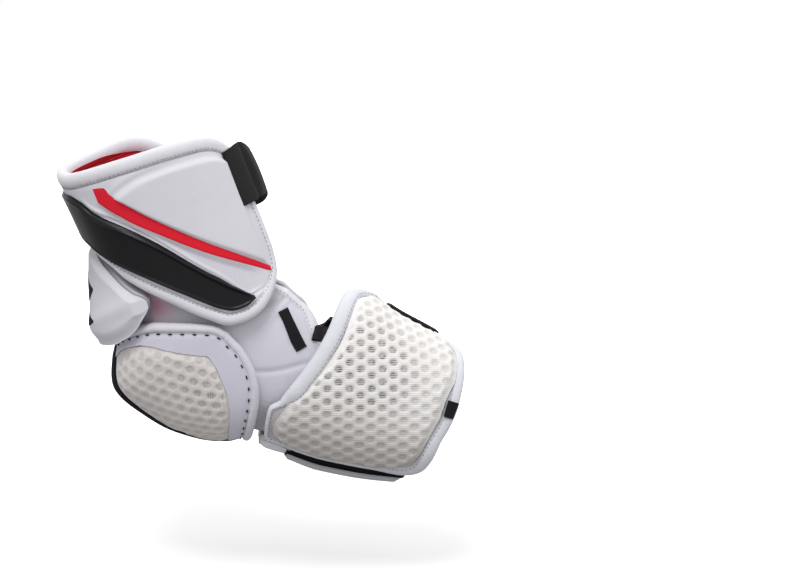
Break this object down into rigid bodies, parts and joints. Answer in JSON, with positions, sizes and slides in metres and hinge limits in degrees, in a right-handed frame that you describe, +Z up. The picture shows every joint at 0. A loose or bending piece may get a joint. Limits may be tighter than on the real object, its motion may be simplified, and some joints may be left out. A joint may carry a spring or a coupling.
{
  "type": "hockey elbow pad",
  "caption": "Bent elbow pad for one arm: padded upper and forearm guards, a mesh-covered elbow cap and a back wedge on an open soft sleeve, with hook-and-loop straps.",
  "frame": {"origin": "centre of the elbow joint that the pad is worn on", "axes": "+Z up with the upper arm rising and leaning 20 degrees towards -X, +X the way the forearm runs, -Y out of the arm's outer side"},
  "size_m": [0.2892, 0.1241, 0.2506],
  "materials": {
    "white_fabric": "woven polyester over foam",
    "white_binding": "smooth rolled binding",
    "white_mesh": "spacer mesh with a honeycomb of dimples",
    "white_foam": "moulded foam, matt skin",
    "black_foam": "moulded foam, matt skin",
    "grey_fabric": "fine knit",
    "red_print": "printed fabric",
    "red_lining": "brushed knit",
    "black_rubber": "moulded, half gloss",
    "black_fabric": "plain weave",
    "dark_webbing": "ribbed webbing",
    "grey_hook": "hook tape"
  },
  "bodies": {
    "root": {"sleeve": "white_fabric", "sleeve_roll": "white_binding", "sleeve_lining": "red_lining", "sleeve_tag": "black_fabric", "upper_guard": "white_fabric", "upper_guard_roll": "white_binding", "upper_guard_stripe": "red_print", "upper_guard_plate": "black_rubber", "upper_flap_pile": "grey_fabric", "upper_lining": "red_lining", "upper_strap": "dark_webbing", "upper_strap_tab": "grey_hook", "back_wedge": "white_foam", "back_wedge_inlay": "black_fabric", "elbow_cap": "black_foam", "elbow_cap_roll": "white_binding", "elbow_cap_band_outer": "white_fabric", "elbow_cap_band_inner": "white_fabric", "elbow_cap_mesh_outer": "white_mesh", "elbow_cap_mesh_inner": "white_mesh", "elbow_cap_spine": "black_fabric", "forearm_shell": "grey_fabric", "forearm_shell_roll": "white_binding", "forearm_mesh": "white_mesh", "forearm_tag": "black_fabric", "forearm_spine": "black_fabric", "forearm_spine_piping": "grey_fabric", "forearm_side_pad": "grey_fabric", "forearm_side_roll": "white_binding", "forearm_lining": "black_fabric", "forearm_strap": "dark_webbing", "forearm_strap_tab": "grey_hook", "elbow_strap": "dark_webbing", "elbow_strap_tab": "red_print"}
  },
  "joints": []
}
